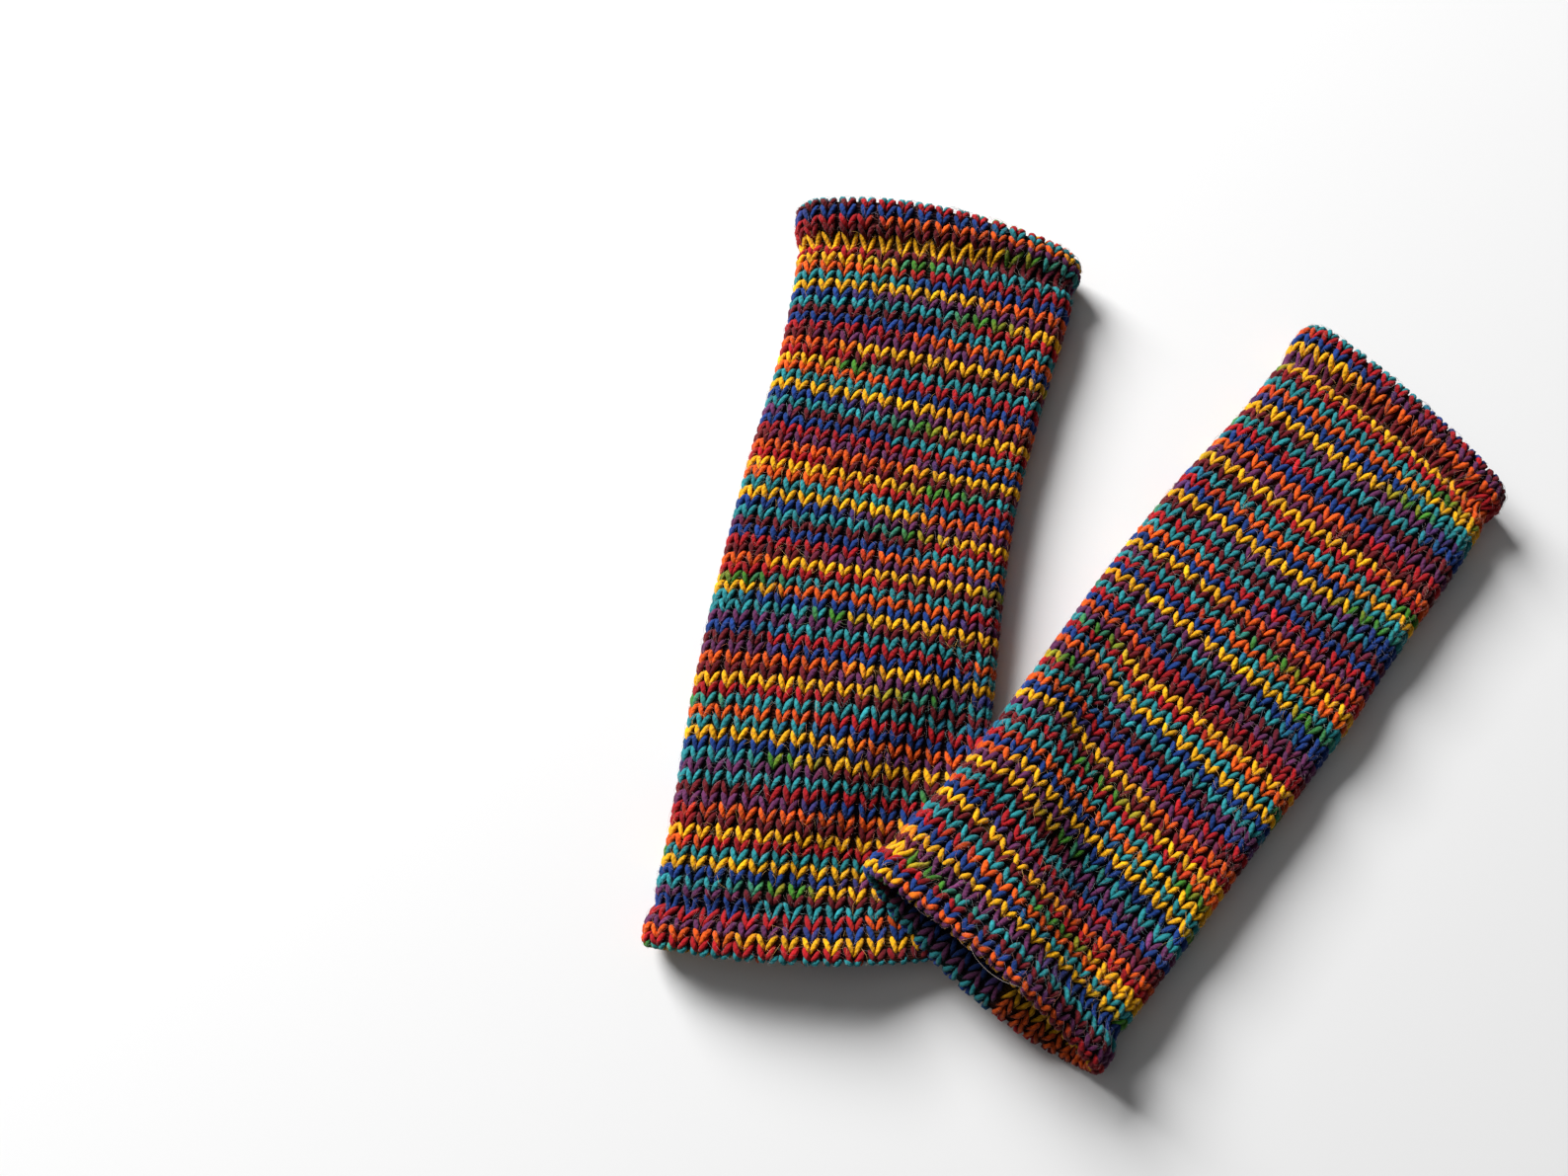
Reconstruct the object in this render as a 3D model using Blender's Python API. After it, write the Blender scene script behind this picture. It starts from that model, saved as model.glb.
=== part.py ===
"""A pair of knitted wool arm warmers, laid flat, the right one lying on a corner of the left one.

Each arm warmer is a knitted panel sewn into a tube, with a hem turned in at both ends.
Units are metres, +Z is up, and the origin is the middle of the pair on the surface it lies on.
"""

import bpy
import numpy as np

MM = 0.001

# Driving sizes of the cloth, in millimetres
CLOTH_WALL = 2.6
HEM_WALL = 4.8
HEM_LENGTH = 11.0
HEM_SWELL = 1.2
SEAM_GAP = 0.3
FOLD_GAP = 0.6
TUBE_HEIGHT = 11.6
CROWN = 3.0
PRESSED_HEIGHT = 10.6

# The thumb slit is left open in the long seam, near the hand end
SLIT_FROM_HAND_END = 61.0
SLIT_LENGTH = 31.0
SLIT_GAPE = 6.2

# Middle of the pair's outline in the sections below, which becomes the origin
PAIR_MIDDLE = (-0.22, -0.64)

# How the right warmer drapes over the left one
DRAPE_REACH = 30.0
PRESS_MARGIN = 5.0
PRESS_FADE = 20.0

# Places round the section: up the left fold, along the top, down the right fold, back underneath
LEFT_FOLD = 0.5
TOP_START = 1.0
TOP_END = 2.0
RIGHT_FOLD = 2.5
UNDER_START = 3.0
UNDER_MIDDLE = 3.5
FULL_TURN = 4.0

# Mesh density
ROWS = 27
TOP_COLUMNS = 11
ARC_STEPS = 3
UNDER_COLUMNS = 6
HEM_LINE_STEPS = 9
HEM_ARC_STEPS = 6
SHARP_ANGLE = np.radians(50.0)

# Sections from the upper end to the hand end. x and y are the middle of the section, width is its
# flat width, turn is the angle of the knitted rows in degrees, and bow_top and bow_under say how
# far the middle of the row stands past its ends, towards the hand end, on each layer.
SECTION_COLUMNS = ("x", "y", "width", "turn", "bow_top", "bow_under")
LEFT_SECTIONS = (
    (-36.8, 109.4, 82.4, -12.6, -5.4, -5.4),
    (-38.3, 95.0, 80.8, -9.8, -2.5, -2.6),
    (-44.8, 68.2, 76.8, -11.4, -0.6, -0.6),
    (-54.5, 33.2, 76.6, -9.2, 0.3, 0.3),
    (-65.6, -25.9, 81.0, -6.9, -0.9, -0.9),
    (-70.8, -63.7, 82.8, -3.9, 0.4, 0.4),
    (-74.3, -86.0, 84.8, -1.7, 2.6, 2.6),
    (-74.8, -92.0, 85.2, -1.6, 3.7, 3.2),
)
RIGHT_SECTIONS = (
    (92.7, 55.6, 71.0, -46.0, -1.2, -1.2),
    (77.9, 35.9, 72.4, -40.6, -1.4, -1.2),
    (56.1, 10.4, 75.2, -38.4, -0.4, -0.4),
    (36.0, -14.9, 76.6, -37.8, 0.0, 0.0),
    (13.8, -42.3, 74.6, -36.6, -0.6, 0.0),
    (-4.6, -65.4, 74.2, -36.6, -1.4, 0.6),
    (-25.2, -88.4, 75.6, -39.8, -2.0, 4.2),
    (-32.8, -97.3, 76.6, -40.6, -2.4, 6.2),
)

# Extra height of the tube towards each end, above TUBE_HEIGHT: distance from the upper end, height
HEIGHT_COLUMNS = ("along", "extra")
LEFT_HEIGHTS = ((0.0, 1.0), (40.0, 0.3), (110.0, 0.0), (170.0, 0.2), (215.0, 0.8))
RIGHT_HEIGHTS = ((0.0, 1.0), (40.0, 0.4), (110.0, 0.6), (160.0, 1.4), (205.0, 4.4))

# Soft troughs pressed into the upper layer. Each line is the x and y of both ends of the trough,
# its half width and its depth. A depth below 0 is a soft ridge.
LEFT_CREASES = (
    (-66.0, 62.0, -40.0, 20.0, 9.0, 0.7),
    (-92.0, -38.0, -62.0, -64.0, 10.0, 0.6),
    (-57.0, -66.0, -31.0, -31.0, 8.0, 3.2),
    (-58.0, -74.0, -46.0, -88.0, 8.0, 1.6),
)
RIGHT_CREASES = (
    (-27.0, -57.0, 12.0, -87.0, 7.0, 4.6),
    (-2.0, -36.0, 26.0, -57.0, 6.0, 1.5),
    (22.0, 6.0, 50.0, -16.0, 10.0, -1.6),
    (40.0, -28.0, 60.0, -43.0, 7.0, 1.6),
    (64.0, -9.0, 82.0, -22.0, 6.0, 1.4),
    (55.0, 35.0, 88.0, 10.0, 9.0, 1.2),
    (-42.0, -62.0, -30.0, -74.0, 5.0, 0.6),
)

# Place of the long seam on the underside, as a share of the width from the middle
SEAM_SHARE = {"left": -0.08, "right": 0.08}


def column(table, names, name):
    """Return one named column of a table as an array."""
    return np.array([row[names.index(name)] for row in table], dtype=float)


def smooth_lookup(where, places, values):
    """Read a smooth curve through (places, values): a cubic in each step, with averaged slopes."""
    slopes = np.gradient(values, places)
    where = np.clip(where, places[0], places[-1])
    step = np.clip(np.searchsorted(places, where) - 1, 0, len(places) - 2)
    span = places[step + 1] - places[step]
    part = (where - places[step]) / span
    rise = values[step + 1] - values[step]
    start = slopes[step] * span
    end = slopes[step + 1] * span
    square = 3.0 * rise - 2.0 * start - end
    cube = start + end - 2.0 * rise
    return values[step] + start * part + square * part**2 + cube * part**3


def smooth_step(value):
    """Rise smoothly from 0 to 1 while the value goes from 0 to 1."""
    value = np.clip(value, 0.0, 1.0)
    return value * value * (3.0 - 2.0 * value)


class Warmer:
    """One arm warmer's form: its sections, heights and creases, read at any place."""

    def __init__(self, sections, heights, creases):
        self.table = {name: column(sections, SECTION_COLUMNS, name) for name in SECTION_COLUMNS}
        steps = np.hypot(np.diff(self.table["x"]), np.diff(self.table["y"]))
        self.places = np.concatenate([[0.0], np.cumsum(steps)])
        self.length = self.places[-1]
        self.height_places = column(heights, HEIGHT_COLUMNS, "along") * self.length / heights[-1][0]
        self.height_extra = column(heights, HEIGHT_COLUMNS, "extra")
        self.creases = creases

    def read(self, name, along):
        """Read one column of the sections at a distance along the tube."""
        return smooth_lookup(along, self.places, self.table[name])

    def height(self, along):
        """The tube's height before it is pressed."""
        return TUBE_HEIGHT + smooth_lookup(along, self.height_places, self.height_extra)

    def flat_place(self, along, across, layer):
        """Turn a place along and across the cloth into x and y. Layer is 0 under and 1 on top."""
        turn = np.radians(self.read("turn", along))
        width = self.read("width", along)
        bow = layer * self.read("bow_top", along) + (1.0 - layer) * self.read("bow_under", along)
        bow = bow * (1.0 - np.clip(2.0 * across / width, -1.0, 1.0) ** 2)
        x = self.read("x", along) + across * np.cos(turn) + bow * np.sin(turn)
        y = self.read("y", along) + across * np.sin(turn) - bow * np.cos(turn)
        return x, y

    def edge(self, side, count=60):
        """Points of one long edge of the outline, seen from above. Side is -1 left and 1 right."""
        along = np.linspace(0.0, self.length, count)
        return self.flat_place(along, side * self.read("width", along) / 2.0, 0.5)


LEFT = Warmer(LEFT_SECTIONS, LEFT_HEIGHTS, LEFT_CREASES)
RIGHT = Warmer(RIGHT_SECTIONS, RIGHT_HEIGHTS, RIGHT_CREASES)


def ring(turn_round, width, height, inset):
    """Flattened tube's section: two straight layers joined by half circles at the side folds.

    turn_round is a place round the section, from 0 to FULL_TURN, and inset moves the outline
    inwards. On a fold the place sweeps half a circle, and on a layer it moves along a line.
    """
    radius = height / 2.0
    half_line = width / 2.0 - radius
    reach = radius - inset
    place = np.mod(turn_round, FULL_TURN)
    part = np.mod(place, 1.0)
    on = [place < TOP_START, place < TOP_END, place < UNDER_START]
    round_out = reach * np.sin(np.pi * part)
    round_up = reach * np.cos(np.pi * part)
    along_line = half_line * (2.0 * part - 1.0)
    across = np.select(on, [-half_line - round_out, along_line, half_line + round_out], -along_line)
    up = np.select(on, [radius - round_up, height - inset, radius + round_up], inset)
    return across, up


def crease_depth(warmer, x, y):
    """Depth of the soft troughs at a place: a bell across each trough, fading past its ends."""
    depth = np.zeros_like(x)
    for x0, y0, x1, y1, half_width, deep in warmer.creases:
        length = np.hypot(x1 - x0, y1 - y0)
        run = ((x - x0) * (x1 - x0) + (y - y0) * (y1 - y0)) / length
        aside = ((x - x0) * (y1 - y0) - (y - y0) * (x1 - x0)) / length
        past = np.maximum(0.0, np.maximum(-run, run - length))
        depth += deep * np.exp(-((aside**2 + past**2) / half_width**2))
    return depth


def lift_over_left(x, y):
    """Height of the surface that the right warmer lies on: the pressed left one, then a drape."""
    edge_x, edge_y = LEFT.edge(1)
    order = np.argsort(edge_y)
    nearest_x = np.interp(y, edge_y[order], edge_x[order]) + HEM_SWELL
    beside = np.maximum(0.0, x - nearest_x)
    below = np.maximum(0.0, edge_y.min() - HEM_LENGTH / 2.0 - y)
    away = np.clip(np.hypot(beside, below) / DRAPE_REACH, 0.0, 1.0)
    return (PRESSED_HEIGHT + SEAM_GAP) * (1.0 - away**2) ** 2


def press_under_right(x, y):
    """How far the left warmer is pressed flat: 1 under the right one, fading to 0 around it."""
    edge_x, edge_y = RIGHT.edge(-1)
    corner_x, corner_y = edge_x[-1], edge_y[-1]
    upper_x, upper_y = edge_x[len(edge_x) // 2], edge_y[len(edge_y) // 2]
    length = np.hypot(upper_x - corner_x, upper_y - corner_y)
    along_x, along_y = (upper_x - corner_x) / length, (upper_y - corner_y) / length
    inside_edge = (x - corner_x) * along_y - (y - corner_y) * along_x
    inside_lip = (x - corner_x) * along_x + (y - corner_y) * along_y
    inside = np.minimum(inside_edge, inside_lip)
    return smooth_step((inside + PRESS_MARGIN + PRESS_FADE) / PRESS_FADE)


def surface(warmer, along, turn_round, inset=0.0, swell=0.0, aside=0.0):
    """Place a point of the outer surface, in millimetres, moved inwards by inset."""
    width = warmer.read("width", along) + 2.0 * swell
    height = warmer.height(along) + 2.0 * swell
    across, up = ring(turn_round, width, height, inset)
    across = across + aside
    layer = smooth_step(up / height)
    x, y = warmer.flat_place(along, across, layer)
    press = press_under_right(x, y) if warmer is LEFT else 0.0
    lift = 0.0 if warmer is LEFT else lift_over_left(x, y)
    crown = CROWN * (1.0 - press) * (1.0 - (2.0 * across / width) ** 2)
    up = up + layer * (crown - crease_depth(warmer, x, y))
    up = up * (1.0 - press * (1.0 - PRESSED_HEIGHT / height)) + lift
    return np.stack([x - PAIR_MIDDLE[0], y - PAIR_MIDDLE[1], up], axis=-1)


def slit_gape(warmer, along):
    """Half the width of the thumb slit: a lens that closes at both ends."""
    middle = warmer.length - SLIT_FROM_HAND_END
    return SLIT_GAPE / 2.0 * np.clip(1.0 - (2.0 * (along - middle) / SLIT_LENGTH) ** 2, 0.0, 1.0)


def mesh_object(name, points, faces, collection, material):
    """Make a smooth-shaded mesh object from points in millimetres."""
    mesh = bpy.data.meshes.new(name)
    mesh.from_pydata((points * MM).tolist(), [], faces.tolist())
    mesh.update()
    mesh.shade_smooth()
    mesh.set_sharp_from_angle(angle=SHARP_ANGLE)
    mesh.materials.append(material)
    body = bpy.data.objects.new(name, mesh)
    collection.objects.link(body)


def quads_between(first, second):
    """Join two rows of point numbers with quads, one for each pair of neighbours."""
    corners = [first[..., :-1], first[..., 1:], second[..., 1:], second[..., :-1]]
    return np.stack(corners, axis=-1).reshape(-1, 4)


def cloth_object(name, warmer, turn_round, aside, collection, material):
    """Loft a strip of cloth between its outer and inner sections, and close it at its four edges."""
    along = tube_rows(warmer)
    outer = surface(warmer, along, turn_round[None, :], 0.0, 0.0, aside)
    inner = surface(warmer, along, turn_round[None, :], CLOTH_WALL, 0.0, aside)
    count = outer.shape[0] * outer.shape[1]
    out = np.arange(count).reshape(outer.shape[:2])
    into = out + count
    faces = np.concatenate([
        quads_between(out[:-1], out[1:]),
        quads_between(into[1:], into[:-1]),
        quads_between(into[0], out[0]),
        quads_between(out[-1], into[-1]),
        quads_between(out[:, 0], into[:, 0]),
        quads_between(into[:, -1], out[:, -1]),
    ])
    points = np.concatenate([outer.reshape(-1, 3), inner.reshape(-1, 3)])
    mesh_object(name, points, faces[:, ::-1], collection, material)


def tube_rows(warmer):
    """Distances along the tube between the two hems, as a column for a grid."""
    return np.linspace(HEM_LENGTH, warmer.length - HEM_LENGTH, ROWS)[:, None]


def upper_face(side, warmer, collection, material):
    """The layer that lies on top, from one side fold to the other."""
    half_gap = FOLD_GAP / (np.pi * TUBE_HEIGHT)
    left_fold = np.linspace(LEFT_FOLD + half_gap, TOP_START, ARC_STEPS + 1)
    top = np.linspace(TOP_START, TOP_END, TOP_COLUMNS + 1)[1:-1]
    right_fold = np.linspace(TOP_END, RIGHT_FOLD - half_gap, ARC_STEPS + 1)
    turn_round = np.concatenate([left_fold, top, right_fold])
    cloth_object(side + "_upper_face", warmer, turn_round, 0.0, collection, material)


def under_strips(side, warmer, collection, material):
    """The two strips of the layer underneath, which the long seam joins and the slit parts."""
    half_gap = FOLD_GAP / (np.pi * TUBE_HEIGHT)
    seam = UNDER_MIDDLE - SEAM_SHARE[side]
    left_end = FULL_TURN + LEFT_FOLD - half_gap
    right_fold = np.linspace(RIGHT_FOLD + half_gap, UNDER_START, ARC_STEPS + 1)
    left_fold = np.linspace(FULL_TURN, left_end, ARC_STEPS + 1)
    right_line = np.linspace(UNDER_START, seam, UNDER_COLUMNS + 1)[1:]
    left_line = np.linspace(seam, FULL_TURN, UNDER_COLUMNS + 1)[:-1]
    inner_strip = np.concatenate([right_fold, right_line])
    outer_strip = np.concatenate([left_line, left_fold])
    parted = SEAM_GAP / 2.0 + slit_gape(warmer, tube_rows(warmer))
    inner_share = np.clip((inner_strip - UNDER_START) / (seam - UNDER_START), 0.0, 1.0)
    outer_share = np.clip((outer_strip - FULL_TURN) / (FULL_TURN - seam), -1.0, 0.0)
    cloth_object(side + "_under_inner", warmer, inner_strip, parted * inner_share, collection, material)
    cloth_object(side + "_under_outer", warmer, outer_strip, parted * outer_share, collection, material)


def hem(name, warmer, at_upper_end, collection, material):
    """A hem turned in: a doubled ring of cloth with a rounded lip, carried round the section."""
    lip = HEM_WALL / 2.0
    corner = lip * (1.0 - np.sqrt(0.5))
    end = HEM_LENGTH - SEAM_GAP
    from_lip = np.array([0.0, corner, lip, end - lip, end, end, end - lip, lip, corner])[:, None]
    outer_insets = [lip, corner, 0.0, 0.0, lip / 2.0]
    inner_insets = [HEM_WALL - lip / 3.0, HEM_WALL, HEM_WALL, HEM_WALL - corner]
    inset = np.array(outer_insets + inner_insets)[:, None]
    along = from_lip if at_upper_end else warmer.length - from_lip
    line = np.linspace(0.0, 1.0, HEM_LINE_STEPS + 1)[:-1]
    arc = np.linspace(0.0, 1.0, HEM_ARC_STEPS + 1)[:-1]
    turn_round = np.concatenate([arc, TOP_START + line, TOP_END + arc, UNDER_START + line])[None, :]
    points = surface(warmer, along, turn_round, inset, HEM_SWELL)
    rows, columns = points.shape[:2]
    index = np.arange(rows * columns).reshape(rows, columns)
    next_row = np.roll(index, -1, axis=0)
    next_column = np.roll(index, -1, axis=1)
    far = np.roll(next_row, -1, axis=1)
    quads = np.stack([index, next_column, far, next_row], axis=-1)
    if not at_upper_end:
        quads = quads[..., ::-1]
    mesh_object(name, points.reshape(-1, 3), quads.reshape(-1, 4)[:, ::-1], collection, material)


def wool(name, colour):
    """Matt wool yarn in one of the colours that repeat along the variegated thread."""
    material = bpy.data.materials.new(name)
    material.use_nodes = True
    shader = material.node_tree.nodes["Principled BSDF"]
    shader.inputs["Base Color"].default_value = (*colour, 1.0)
    shader.inputs["Roughness"].default_value = 0.9
    shader.inputs["Metallic"].default_value = 0.0
    return material


def main():
    """Build both arm warmers, each of an upper face, two under strips and two hems."""
    for old in list(bpy.data.objects):
        bpy.data.objects.remove(old, do_unlink=True)
    collection = bpy.data.collections.new("knitted_arm_warmers")
    bpy.context.scene.collection.children.link(collection)
    body_wool = wool("variegated_wool", (0.30, 0.08, 0.10))
    hem_wool = wool("variegated_wool_hem", (0.12, 0.06, 0.22))
    for side, warmer in (("left", LEFT), ("right", RIGHT)):
        upper_face(side, warmer, collection, body_wool)
        under_strips(side, warmer, collection, body_wool)
        hem(side + "_upper_hem", warmer, True, collection, hem_wool)
        hem(side + "_lower_hem", warmer, False, collection, hem_wool)


main()
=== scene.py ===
# %% [markdown]
# # A pair of knitted wool arm warmers, laid flat
#
# The object is two tubes of hand-knitted wool, made from one yarn whose colour changes along its
# length. Plain stocking stitch shows as columns of small V shapes. This lesson builds the cloth the
# way the yarn makes it: first the form of each laid-down tube, then a thin ground cloth, then every
# V as two short lengths of yarn, and last the loose fibres that give wool its soft edge.

import bpy
import numpy as np
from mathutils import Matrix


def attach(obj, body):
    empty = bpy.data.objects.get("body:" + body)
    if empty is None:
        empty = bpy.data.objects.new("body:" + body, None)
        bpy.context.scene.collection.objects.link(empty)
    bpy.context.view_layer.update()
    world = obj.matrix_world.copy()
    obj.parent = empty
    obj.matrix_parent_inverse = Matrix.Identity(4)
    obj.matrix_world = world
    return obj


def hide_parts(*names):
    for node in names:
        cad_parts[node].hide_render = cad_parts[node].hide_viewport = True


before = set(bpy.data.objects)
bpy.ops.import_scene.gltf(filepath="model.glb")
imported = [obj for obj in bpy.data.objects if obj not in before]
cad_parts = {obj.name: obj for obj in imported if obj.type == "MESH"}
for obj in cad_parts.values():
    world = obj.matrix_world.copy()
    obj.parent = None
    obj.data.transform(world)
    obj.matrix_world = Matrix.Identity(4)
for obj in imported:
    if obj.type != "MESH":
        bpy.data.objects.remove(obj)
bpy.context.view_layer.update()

# %% [markdown]
# ## Sizes
#
# All sizes are in millimetres and become metres only when a mesh is made. The cloth has 34 stitches
# round, and 80 rows on the left warmer and 77 on the right one. At this gauge a stitch is about
# 5.1 mm wide and 2.6 mm tall, which is what worsted-weight wool gives. Each end is turned in to
# make a doubled hem.

# %% Sizes of the cloth and of the yarn
MM = 0.001
STITCHES = 34
FIRST_ROW = {"left": -1, "right": 0}
ROW_COUNT = {"left": 79, "right": 77}
FACING_ROWS = 3

# A hem: the thickness of its doubled wall, its length, how far it stands out, and the length over
# which that fades. A groove lies just past it, where the facing ends inside
HEM_WALL = 4.8
HEM_LENGTH = 11.0
HEM_SWELL = 1.2
HEM_EASE = 5.5
GROOVE_DEPTH = 0.7
GROOVE_PAST_HEM = 0.4
GROOVE_REACH = 1.5

# The tubes: their height, how far their tops rise in the middle, the left one's height where the
# right one lies on it, and the gap at the seam
TUBE_HEIGHT = 11.6
CROWN = 3.0
PRESSED_HEIGHT = 10.6
SEAM_GAP = 0.3

# The yarn, and the ground cloth: its depth under the face and its thickness
YARN_RADIUS = 0.78
GROUND_DEPTH = 1.45
GROUND_THICKNESS = 0.9

# The middle of the pair in the x and y of the tables below. It becomes the origin
PAIR_MIDDLE = (-0.22, -0.64)

# %% [markdown]
# ## The form of each tube
#
# A tube laid flat is a stack of sections. Each row of the tables gives the middle of a section, its
# flat width, the angle of its knitted rows, and how far the middle of the row bows past its ends.
# The numbers are the same as the solids', so that the cloth lies exactly where they are. A trough
# with a depth below 0 is a soft ridge.

# %% Sections of the two tubes
SECTION_COLUMNS = ("x", "y", "width", "turn", "bow_top", "bow_under")
LEFT_SECTIONS = (
    (-36.8, 109.4, 82.4, -12.6, -5.4, -5.4),
    (-38.3, 95.0, 80.8, -9.8, -2.5, -2.6),
    (-44.8, 68.2, 76.8, -11.4, -0.6, -0.6),
    (-54.5, 33.2, 76.6, -9.2, 0.3, 0.3),
    (-65.6, -25.9, 81.0, -6.9, -0.9, -0.9),
    (-70.8, -63.7, 82.8, -3.9, 0.4, 0.4),
    (-74.3, -86.0, 84.8, -1.7, 2.6, 2.6),
    (-74.8, -92.0, 85.2, -1.6, 3.7, 3.2),
)
RIGHT_SECTIONS = (
    (92.7, 55.6, 71.0, -46.0, -1.2, -1.2),
    (77.9, 35.9, 72.4, -40.6, -1.4, -1.2),
    (56.1, 10.4, 75.2, -38.4, -0.4, -0.4),
    (36.0, -14.9, 76.6, -37.8, 0.0, 0.0),
    (13.8, -42.3, 74.6, -36.6, -0.6, 0.0),
    (-4.6, -65.4, 74.2, -36.6, -1.4, 0.6),
    (-25.2, -88.4, 75.6, -39.8, -2.0, 4.2),
    (-32.8, -97.3, 76.6, -40.6, -2.4, 6.2),
)

# What is added to the tube's height at distances along it, and the soft troughs of each tube: where
# a trough starts and ends in x and y, its half width and its depth
HEIGHT_COLUMNS = ("along", "extra")
LEFT_HEIGHTS = ((0.0, 1.0), (40.0, 0.3), (110.0, 0.0), (170.0, 0.2), (215.0, 0.8))
RIGHT_HEIGHTS = ((0.0, 1.0), (40.0, 0.4), (110.0, 0.6), (160.0, 1.4), (205.0, 4.4))
LEFT_CREASES = (
    (-66.0, 62.0, -40.0, 20.0, 9.0, 0.7),
    (-92.0, -38.0, -62.0, -64.0, 10.0, 0.6),
    (-57.0, -66.0, -31.0, -31.0, 8.0, 3.2),
    (-58.0, -74.0, -46.0, -88.0, 8.0, 1.6),
)
RIGHT_CREASES = (
    (-27.0, -57.0, 12.0, -87.0, 7.0, 4.6),
    (-2.0, -36.0, 26.0, -57.0, 6.0, 1.5),
    (22.0, 6.0, 50.0, -16.0, 10.0, -1.6),
    (40.0, -28.0, 60.0, -43.0, 7.0, 1.6),
    (64.0, -9.0, 82.0, -22.0, 6.0, 1.4),
    (55.0, 35.0, 88.0, 10.0, 9.0, 1.2),
    (-42.0, -62.0, -30.0, -74.0, 5.0, 0.6),
)

# The long seam's place, as a share of the width from the middle of the underside, and the share of
# the width that both side folds add to the two layers
SEAM_SHARE = {"left": -0.08, "right": 0.08}
FOLDS_SHARE = 0.14

# Knitted rows are never quite even. Each line is a row, then how many rows it is shifted down the
# tube at the stitches of DRIFT_STITCHES, and last how far at the middle of the underside.
DRIFT_STITCHES = (1.5, 3.6, 5.2, 8.0, 12.3, 15.4)
FACE_MIDDLE_STITCH = STITCHES / 4.0
UNDER_MIDDLE_STITCH = 3.0 * STITCHES / 4.0
DRIFT_ROW_HEIGHT = 2.6
STITCH_WIDTH = 5.1
LEFT_DRIFT = (
    (-1.0, 1.0, 1.0, 1.0, 0.95, 0.8, 0.4, 1.0),
    (0.5, 0.6, 0.6, 0.6, 0.6, 0.4, -0.1, 0.7),
    (2.5, 0.5, 0.5, 0.5, 0.5, -0.1, -0.7, 0.5),
    (3.5, 0.3, 0.3, 0.35, 0.35, -0.4, -0.9, 0.4),
    (4.5, 0.1, 0.1, 0.15, 0.15, -0.5, -1.0, 0.3),
    (6.5, -0.3, -0.1, 0.1, 0.1, -0.3, -0.8, 0.2),
    (8.5, -0.2, -0.2, -0.15, -0.15, -0.2, -0.4, 0.0),
    (11.5, -0.15, -0.15, -0.25, -0.25, -0.25, -0.2, 0.0),
    (18.5, -0.3, -0.2, -0.1, 0.0, 0.1, 0.1, 0.0),
    (23.5, -0.4, -0.3, -0.2, 0.1, 0.5, 0.6, 0.0),
    (30.5, -0.6, -0.5, -0.4, -0.2, 0.2, 0.3, 0.0),
    (35.5, -0.2, -0.1, -0.1, 0.0, 0.2, 0.3, 0.0),
    (45.5, 0.0, 0.0, 0.0, 0.0, 0.0, 0.0, 0.0),
    (52.5, 0.5, 0.5, 0.5, 0.5, 0.5, 0.5, 0.0),
    (59.5, 0.9, 0.9, 1.0, 1.0, 1.0, 1.0, 0.0),
    (66.5, 1.1, 1.1, 1.2, 1.2, 1.2, 1.1, 0.0),
    (71.5, 0.7, 0.7, 0.7, 0.7, 0.7, 0.7, 0.0),
    (76.5, 0.1, 0.1, 0.1, 0.1, 0.1, 0.1, 0.0),
    (79.0, 0.0, 0.0, 0.0, 0.0, 0.0, 0.0, 0.0),
)
RIGHT_DRIFT = (
    (0.0, 0.2, 0.3, 0.3, 0.2, 0.0, -0.2, 0.1),
    (2.5, 0.1, 0.1, 0.1, 0.1, -0.2, -0.5, 0.0),
    (5.5, 0.0, 0.1, 0.2, 0.3, -0.1, -0.5, 0.0),
    (10.5, 0.3, 0.4, 0.6, 0.6, -0.1, -0.8, 0.0),
    (17.5, 0.8, 1.0, 1.2, 1.4, 0.8, 0.4, 0.0),
    (22.5, 1.2, 1.4, 1.6, 1.8, 1.1, 0.6, 0.0),
    (29.5, 1.3, 1.2, 1.4, 1.5, 1.4, 1.2, 0.0),
    (34.5, 0.4, 0.7, 1.0, 1.3, 1.5, 1.7, 0.0),
    (44.5, -0.4, -0.6, 0.8, 1.2, 1.9, 2.2, 0.0),
    (51.5, -0.2, -0.9, 0.0, 1.0, 2.1, 2.3, 0.0),
    (58.5, -0.4, -0.7, 0.1, 1.0, 1.9, 2.5, 0.0),
    (65.5, -0.9, -0.5, 0.4, 1.5, 1.7, 1.8, 0.0),
    (70.5, -0.2, 0.3, 0.6, 0.8, 0.8, 0.8, 0.0),
    (74.5, 0.0, 0.3, 0.4, 0.5, 0.5, 0.5, 0.0),
    (77.0, 0.0, 0.0, 0.0, 0.0, 0.0, 0.0, 0.0),
)

# The thumb slit: its middle's distance from the hand end, its length, and its width when it gapes
SLIT_FROM_HAND_END = 61.0
SLIT_LENGTH = 31.0
SLIT_GAPE = 6.2

# The right warmer drapes off the left one over this reach. The left one is pressed as far as a
# margin past the right one's edges, and past that the press fades out
DRAPE_REACH = 30.0
PRESS_MARGIN = 5.0
PRESS_FADE = 20.0
EDGE_POINTS = 60

# Places round a section: the top from 1 to 2, the underside from 3 to 4, and the folds between
TOP_START, TOP_END, UNDER_START, UNDER_MIDDLE, FULL_TURN = 1.0, 2.0, 3.0, 3.5, 4.0


def find_step(where, places):
    """Find the step between two places that each number falls in, its span, and the part of it."""
    where = np.clip(where, places[0], places[-1])
    step = np.clip(np.searchsorted(places, where) - 1, 0, len(places) - 2)
    span = places[step + 1] - places[step]
    return step, span, (where - places[step]) / span


def cubic(first, last, start, end, part):
    """The cubic from first to last, with the slopes start and end, at a part of the way."""
    rise = last - first
    square = 3.0 * rise - 2.0 * start - end
    cube = start + end - 2.0 * rise
    return first + start * part + square * part**2 + cube * part**3


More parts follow.
